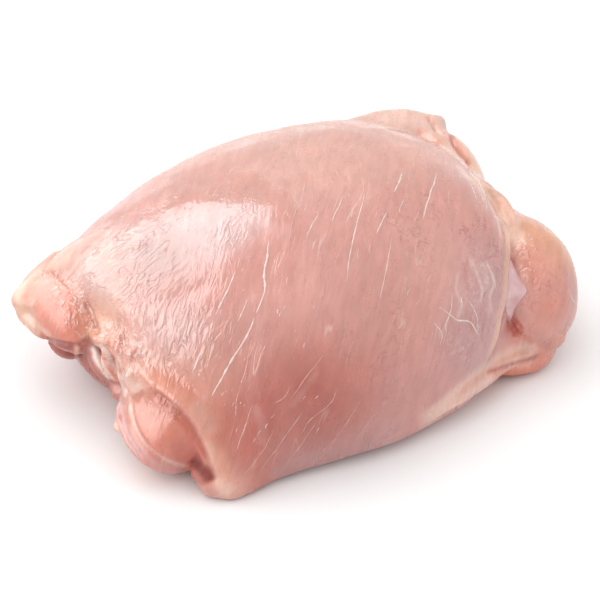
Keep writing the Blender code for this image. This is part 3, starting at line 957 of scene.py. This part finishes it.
def layThreads(pieceName, threads, look):
    # flat ribbons that lie on the skin, wander a little and thin out in places
    strands = []
    for i, (pixels, halfWidth) in enumerate(threads):
        count = look["pointsPerPixel"] * len(pixels) if halfWidth > fineThreadWidth else look["finePoints"]
        row = i * look["wanderApart"]
        drift = [noise.noise_vector((k / look["wanderWave"], row, 0)) for k in range(count)]
        wander = np.array(drift) * look["wander"]
        route = smoothPath(pixels, count)
        found = [onSkin(thighTree, spot) for spot in route + wander[:, :route.shape[1]]]
        path, facings = (np.array(part) for part in zip(*found))
        row = i * look["girthApart"]
        swings = [noise.noise((k / look["girthWave"], row, 2)) for k in range(count - 2)]
        taper = [max(look["thinnest"], look["girth"] + look["girthSwing"] * swing) for swing in swings]
        taper = [look["tip"], *taper, look["tip"]]
        thick = halfWidth * look["flatness"]
        strands.append(drawStrand(f"thread{i}", path, halfWidth, thick, taper, facings, look["sides"]))
    return asOnePiece(pieceName, strands)


# The thin flap of film at the right: pixels along its root and its free edge, and how far
# each stands out in steps
flapForm = {
    "root": [(506, 256), (505, 272), (504, 290), (505, 306), (508, 322)],
    "edge": [(511, 260), (520, 279), (530, 292), (521, 303), (511, 320)],
    "rootLift": (-0.4,),
    "edgeLift": (0.1, 0.7, 1.3, 0.8, 0.1),
    "rows": 17,
    "columns": 9,
    "swell": 0.5,
    "ripple": 0.7,
    "rippleAcross": 2.5,
    "rippleAlong": 5,
    "wall": 0.30,
}


def makeFlap(pieceName, form):
    rows, columns = form["rows"], form["columns"]
    root = pathOnSkin(thighTree, form["root"], rows, form["rootLift"])
    edge = pathOnSkin(thighTree, form["edge"], rows, form["edgeLift"], bridge=True)
    bpy.ops.mesh.primitive_grid_add(x_subdivisions=columns - 1, y_subdivisions=rows - 1, size=1)
    flap = bpy.context.active_object
    flap.name = pieceName
    flap.data.name = pieceName
    flat = readPoints(flap)
    share, row = flat[:, :1] + 0.5, np.rint((flat[:, 1] + 0.5) * (rows - 1)).astype(int)
    waves = [(s * form["rippleAcross"], r / form["rippleAlong"], 3) for s, r in zip(share[:, 0], row)]
    ripple = np.array([noise.noise(wave) for wave in waves])
    swell = np.sin(np.pi * share[:, 0]) * form["swell"] + ripple * form["ripple"]
    lofted = root[row] * (1 - share) + edge[row] * share + np.array(back) * (swell * step)[:, None]
    writePoints(flap, lofted)
    wall = flap.modifiers.new("wall", "SOLIDIFY")
    wall.thickness = form["wall"] * step
    wall.offset = 0
    applyModifier(flap, wall)
    soften(flap, 1)
    return asOnePiece(pieceName, [flap])


def asOnePiece(pieceName, strands):
    piece = strands[0]
    if len(strands) > 1:
        joinInto(piece, strands[1:])
    piece.name = pieceName
    piece.data.name = pieceName
    selectOnly(piece)
    bpy.ops.object.transform_apply(location=True, rotation=True, scale=True)
    bpy.ops.object.mode_set(mode="EDIT")
    bpy.ops.mesh.select_all(action="SELECT")
    bpy.ops.mesh.normals_make_consistent(inside=False)
    bpy.ops.object.mode_set(mode="OBJECT")
    bpy.ops.object.shade_smooth()
    return piece


thighTree = skinTree(thigh)
noise.seed_set(threadLook["wanderSeed"])  # or noise_vector starts from the clock
flap = makeFlap("membrane_flap", flapForm)
threads = layThreads("fascia_threads", threadForms, threadLook)
faint = layThreads("faint_threads", faintThreads, threadLook)
fine = layThreads("fine_threads", scatterThreads(fineThreads, fineThreadChance), threadLook)
print("flap and threads laid")


# Materials

def nodeMaker(material):
    nodes, links = material.node_tree.nodes, material.node_tree.links

    def add(kind, inputs=None, **settings):
        node = nodes.new("ShaderNode" + kind)
        for key, value in settings.items():
            setattr(node, key, value)
        for key, value in (inputs or {}).items():
            if isinstance(value, bpy.types.NodeSocket):
                links.new(value, node.inputs[key])
            else:
                node.inputs[key].default_value = value
        return node.outputs

    return add


# sizes and reliefs in metres; pairs are the lower and upper limit of a soft step
meatLook = {
    "swayScale": 90,
    "swayReach": 0.0030,
    "patchScale": 170,
    "shadeLimits": (0.3, 0.7),
    "fibreWidth": 0.0009,
    "fibreLength": 0.008,
    "fibreShade": 0.03,
    "fibreBump": 0.00007,
    "cloudSize": 0.013,
    "cloudShade": 0.05,
    "mottleWidth": 0.0014,
    "mottleLength": 0.0045,
    "mottleShade": 0.045,
    "threadWidth": 0.0026,
    "threadLength": 0.035,
    "threadShade": 0.4,
    "threadBump": 0.00004,
    "threadLine": 0.02,
    "threadPatches": (0.48, 0.62),
    "threadColour": (0.80, 0.64, 0.58, 1),
    "crinkleWidth": 0.0012,
    "crinkleLength": 0.0040,
    "crinkleDistortion": 0.6,
    "crackleLength": 0.0014,
    "creaseShare": 0.07,
    "creasePatches": (0.42, 0.54),
    "creaseBump": 0.00010,
    "slantBump": 0.00036,
    "uprightBump": 0.00080,
    "crackleBump": 0.00075,
    "creaseShade": 0.24,
    "creaseColour": (0.50, 0.17, 0.14, 1),
    # how strongly, on which plates and in what colour the crackle is painted with glints
    "glintStrength": 0.42,
    "glintPlates": (0.52, 0.60),
    "glintColour": (0.86, 0.66, 0.58, 1),
    "slantTurn": 0.62,
    "beadSpacing": 0.0030,
    "beadStretch": 1.7,
    "beadShare": (0.60, 0.64),
    "beadEdge": (0.02, 0.11),
    "beadBump": 0.00007,
    "wetEdge": (0.2, 0.6),
    "wetRoughness": 0.07,
    "dryRoughness": 0.32,
    "matteRoughness": 0.95,
    "ragged": 0.7,
    "raggedWidth": 0.002,
    "raggedLength": 0.005,
    "veinSize": 0.0022,
    "veinDistortion": 0.8,
    "veinLine": 0.04,
    "veinPatches": (0.46, 0.54),
    "veinShade": 0.6,
    "veinColour": (0.34, 0.12, 0.12, 1),
    "ior": 1.6,
    "subsurface": 0.3,
    "subsurfaceRadius": (1.0, 0.35, 0.25),
    "subsurfaceScale": 0.0025,
}


def makeMeat(look):
    meat = bpy.data.materials.new("wet_meat")
    meat.use_nodes = True
    add = nodeMaker(meat)
    links = meat.node_tree.links
    shader = meat.node_tree.nodes["Principled BSDF"]
    place3d = add("TexCoord")["Object"]
    turned = Matrix((across, along, back)).to_euler("XYZ")
    grain = add("Mapping", {"Vector": place3d, "Rotation": turned})["Vector"]
    tone = add("Attribute", attribute_name="tone")["Color"]

    def maths(operation, first, second=0.0):
        return add("Math", {0: first, 1: second}, operation=operation)[0]

    def product(first, *others):
        for other in others:
            first = maths("MULTIPLY", first, other)
        return first

    def vectors(operation, first, second):
        return add("VectorMath", {0: first, 1: second}, operation=operation)[0]

    def noiseIn(space, scale=1.0, detail=2.0, distortion=0.0):
        return add("TexNoise", {"Vector": space, "Scale": scale, "Detail": detail, "Distortion": distortion})

    def between(value, low, high, start=0.0, end=1.0):
        spread = {"Value": value, "From Min": low, "From Max": high, "To Min": start, "To Max": end}
        return add("MapRange", spread, interpolation_type="SMOOTHSTEP")[0]

    def lineOf(value, width):
        # 1 on the middle line of a noise, fading to 0 at its width
        return between(maths("ABSOLUTE", maths("SUBTRACT", value, 0.5)), 0.0, width, 1.0, 0.0)

    def mask(name):
        return add("Attribute", attribute_name=name)["Fac"]

    def tinted(colour, cover, toward):
        return add("Mix", {"Factor": cover, 6: colour, 7: toward}, data_type="RGBA")[2]

    def stretched(space, wide, long):
        return vectors("MULTIPLY", space, (1 / wide, 1 / long, 1 / long))

    def shading(value, swing):
        return between(value, *look["shadeLimits"], 1 - swing, 1 + swing)

    # the fibres wander a little
    sway = vectors("SUBTRACT", noiseIn(grain, look["swayScale"], 1)["Color"], (0.5, 0.5, 0.5))
    grain = vectors("ADD", grain, vectors("MULTIPLY", sway, (look["swayReach"], 0, 0)))
    slant = add("Mapping", {"Vector": grain, "Rotation": (0, 0, look["slantTurn"])})["Vector"]

    fibres = noiseIn(stretched(grain, look["fibreWidth"], look["fibreLength"]))["Fac"]
    threadNoise = noiseIn(stretched(grain, look["threadWidth"], look["threadLength"]), 1, 1)["Fac"]
    mottle = noiseIn(stretched(grain, look["mottleWidth"], look["mottleLength"]), 1, 3)["Fac"]
    clouds = noiseIn(place3d, 1 / look["cloudSize"], 3)["Fac"]
    patches = noiseIn(place3d, look["patchScale"])["Fac"]
    veinNoise = noiseIn(place3d, 1 / look["veinSize"], 2, look["veinDistortion"])["Fac"]

    # colour
    shade = product(shading(fibres, look["fibreShade"]), shading(clouds, look["cloudShade"]),
                    shading(mottle, look["mottleShade"]))
    colour = vectors("MULTIPLY", tone, shade)
    threadCover = product(lineOf(threadNoise, look["threadLine"]), between(patches, *look["threadPatches"]),
                          mask("fibres"), look["threadShade"])
    colour = tinted(colour, threadCover, look["threadColour"])
    veinCover = product(lineOf(veinNoise, look["veinLine"]), between(patches, *look["veinPatches"]),
                        mask("veins"), look["veinShade"])
    colour = tinted(colour, veinCover, look["veinColour"])

    # relief too fine for the mesh
    height = product(fibres, look["fibreBump"], mask("fibres"))
    height = maths("ADD", height, product(threadCover, look["threadBump"] / look["threadShade"]))
    films = [
        (slant, "crinkleLength", "slantCrinkles", "slantBump"),
        (grain, "crinkleLength", "uprightCrinkles", "uprightBump"),
        (slant, "crackleLength", "crackle", "crackleBump"),
    ]
    for space, length, name, plateBump in films:
        crinkleSpace = stretched(space, look["crinkleWidth"], look[length])
        crinkles = noiseIn(crinkleSpace, distortion=look["crinkleDistortion"])["Fac"]
        creases = product(lineOf(crinkles, look["creaseShare"]), between(patches, *look["creasePatches"]),
                          mask(name))
        height = maths("SUBTRACT", height, product(creases, look["creaseBump"]))
        height = maths("ADD", height, product(crinkles, mask(name), look[plateBump]))
        # the creases of the crinkles painted darker: painted shade
        colour = tinted(colour, product(creases, look["creaseShade"]), look["creaseColour"])
    # the plates of the last of the films are painted near white: painted glints of the wet film
    paintedGlints = product(between(crinkles, *look["glintPlates"]), mask("crackle"), look["glintStrength"])
    colour = tinted(colour, paintedGlints, look["glintColour"])
    links.new(colour, shader.inputs["Base Color"])
    beadSpace = stretched(grain, look["beadSpacing"], look["beadSpacing"] * look["beadStretch"])
    beads = add("TexVoronoi", {"Vector": beadSpace, "Scale": 1})
    chosen = between(add("SeparateColor", {"Color": beads["Color"]})["Red"], *look["beadShare"])
    beadShape = between(beads["Distance"], *look["beadEdge"], 1.0, 0.0)
    height = maths("ADD", height, product(beadShape, chosen, look["beadBump"]))
    bump = add("Bump", {"Height": height, "Strength": 1.0, "Distance": 1.0})["Normal"]
    links.new(bump, shader.inputs["Normal"])
    # the film gleams where it is wet, and the edge of the wet is ragged
    ragged = noiseIn(stretched(grain, look["raggedWidth"], look["raggedLength"]), 1, 3)["Fac"]
    wetness = maths("ADD", mask("wetness"), product(maths("SUBTRACT", ragged, 0.5), look["ragged"]))
    roughness = between(wetness, *look["wetEdge"], look["dryRoughness"], look["wetRoughness"])
    # deep in the crevices nothing gleams
    roughness = maths("MAXIMUM", roughness, product(mask("matte"), look["matteRoughness"]))
    links.new(roughness, shader.inputs["Roughness"])
    shader.inputs["IOR"].default_value = look["ior"]
    shader.inputs["Subsurface Weight"].default_value = look["subsurface"]
    shader.inputs["Subsurface Radius"].default_value = look["subsurfaceRadius"]
    shader.inputs["Subsurface Scale"].default_value = look["subsurfaceScale"]
    return meat


sinewLooks = {
    "membrane_flap": {"pale": (244, 204, 206), "dark": (222, 168, 170), "wet": 1.0},
    "fascia_threads": {"pale": (252, 226, 218), "dark": (244, 204, 194), "wet": 0.4},
    "faint_threads": {"pale": (226, 176, 166), "dark": (212, 152, 142), "wet": 0.0},
    "fine_threads": {"pale": (244, 200, 188), "dark": (234, 180, 168), "wet": 0.4},
}
sinewFinish = {
    "grainSize": 0.0030,
    "blotchLimits": (0.35, 0.65),
    "bumpStrength": 0.5,
    "bumpDepth": 0.0001,
    "roughness": 0.4,
    "coatRoughness": 0.1,
}


def makeSinew(name, look, finish):
    sinew = bpy.data.materials.new(name)
    sinew.use_nodes = True
    add = nodeMaker(sinew)
    links = sinew.node_tree.links
    shader = sinew.node_tree.nodes["Principled BSDF"]
    place3d = add("TexCoord")["Object"]
    blotches = add("TexNoise", {"Vector": place3d, "Scale": 1 / finish["grainSize"], "Detail": 3})["Fac"]
    low, high = finish["blotchLimits"]
    cover = add("MapRange", {"Value": blotches, "From Min": low, "From Max": high})[0]
    tones = [(*(fromScreen(*look[tone]) * albedoShare), 1) for tone in ("dark", "pale")]
    colour = add("Mix", {"Factor": cover, 6: tones[0], 7: tones[1]}, data_type="RGBA")[2]
    links.new(colour, shader.inputs["Base Color"])
    relief = {"Height": blotches, "Strength": finish["bumpStrength"], "Distance": finish["bumpDepth"]}
    links.new(add("Bump", relief)["Normal"], shader.inputs["Normal"])
    shader.inputs["Roughness"].default_value = finish["roughness"]
    shader.inputs["Coat Weight"].default_value = look["wet"]
    shader.inputs["Coat Roughness"].default_value = finish["coatRoughness"]
    return sinew


thigh.data.materials.append(makeMeat(meatLook))
for piece in (flap, threads, faint, fine):
    piece.data.materials.clear()
    piece.data.materials.append(makeSinew(piece.name, sinewLooks[piece.name], sinewFinish))
for piece in (thigh, flap, threads, faint, fine):
    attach(piece, "root")
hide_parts("chicken_thigh")

# Stage and light

stageLook = {
    "floorSide": 6,
    "floorColour": (0.86, 0.86, 0.86, 1),
    "floorRoughness": 0.9,
    "skylineLight": 0.3,
    "overheadLight": 1.6,
    "mirroredSkyline": 0.85,
    "mirroredRoom": 0.35,
    "mirroredFade": 0.45,
}

# direction from the thigh, roll in degrees, distance, width, height and radiance of each
# soft light, and whether it lights the meat or only gleams on its wet film
softboxes = {
    "key_box": ((-0.26, 0.67, 0.70), 0, 0.9, 0.95, 1.05, 0.95, True),
    "key_gleam": ((-0.372, 0.731, 0.572), 16, 0.95, 1.48, 1.28, 3.1, False),
    "left_box": ((-0.9, -0.1, 0.45), 0, 0.9, 0.6, 0.6, 0.9, True),
    "left_gleam": ((-0.90, 0.10, 0.42), 0, 0.95, 0.75, 0.8, 3.6, False),
}


def makeFloor(look):
    bpy.ops.mesh.primitive_plane_add(size=look["floorSide"], location=(0, 0, 0))
    floor = bpy.context.active_object
    floor.name = "floor"
    pale = bpy.data.materials.new("pale_floor")
    pale.use_nodes = True
    shader = pale.node_tree.nodes["Principled BSDF"]
    shader.inputs["Base Color"].default_value = look["floorColour"]
    shader.inputs["Roughness"].default_value = look["floorRoughness"]
    shader.inputs["Specular IOR Level"].default_value = 0
    floor.data.materials.append(pale)


def makeWorld(look):
    world = bpy.data.worlds.new("studio")
    bpy.context.scene.world = world
    world.use_nodes = True
    nodes, links = world.node_tree.nodes, world.node_tree.links
    nodes.remove(nodes["Background"])
    add = nodeMaker(world)

    def glow(strength):
        return add("Background", {"Color": (1, 1, 1, 1), "Strength": strength})["Background"]

    height = add("SeparateXYZ", {0: add("TexCoord")["Generated"]})["Z"]
    # the room is brighter overhead than along the skyline
    climb = {"Value": height, "To Min": look["skylineLight"], "To Max": look["overheadLight"]}
    room = glow(add("MapRange", climb)[0])
    # the wet film mirrors a dim room above a skyline as bright as the floor
    fade = {"Value": height, "From Max": look["mirroredFade"]}
    fade.update({"To Min": look["mirroredSkyline"], "To Max": look["mirroredRoom"]})
    mirrored = glow(add("MapRange", fade, interpolation_type="SMOOTHSTEP")[0])
    # and the camera sees plain white
    rays = add("LightPath")
    gleam = add("MixShader", {"Fac": rays["Is Glossy Ray"], 1: room, 2: mirrored})["Shader"]
    seen = add("MixShader", {"Fac": rays["Is Camera Ray"], 1: gleam, 2: glow(1.0)})["Shader"]
    links.new(seen, nodes["World Output"].inputs["Surface"])


def makeSoftbox(name, facing, roll, away, width, height, radiance, lights):
    # radiance is the brightness of the box as the meat sees it
    bpy.ops.object.light_add(type="AREA", location=Vector(facing).normalized() * away)
    box = bpy.context.active_object
    box.name = name
    box.data.shape = "RECTANGLE"
    box.data.size = width
    box.data.size_y = height
    box.data.energy = radiance * width * height * math.pi
    box.visible_diffuse = lights
    box.visible_transmission = lights
    box.rotation_mode = "QUATERNION"
    turned = Quaternion((0, 0, 1), math.radians(roll))
    box.rotation_quaternion = Vector(facing).to_track_quat("Z", "Y") @ turned


makeFloor(stageLook)
makeWorld(stageLook)
for name, values in softboxes.items():
    makeSoftbox(name, *values)
scene = bpy.context.scene
scene.view_settings.view_transform = "Standard"
print("stage lit")
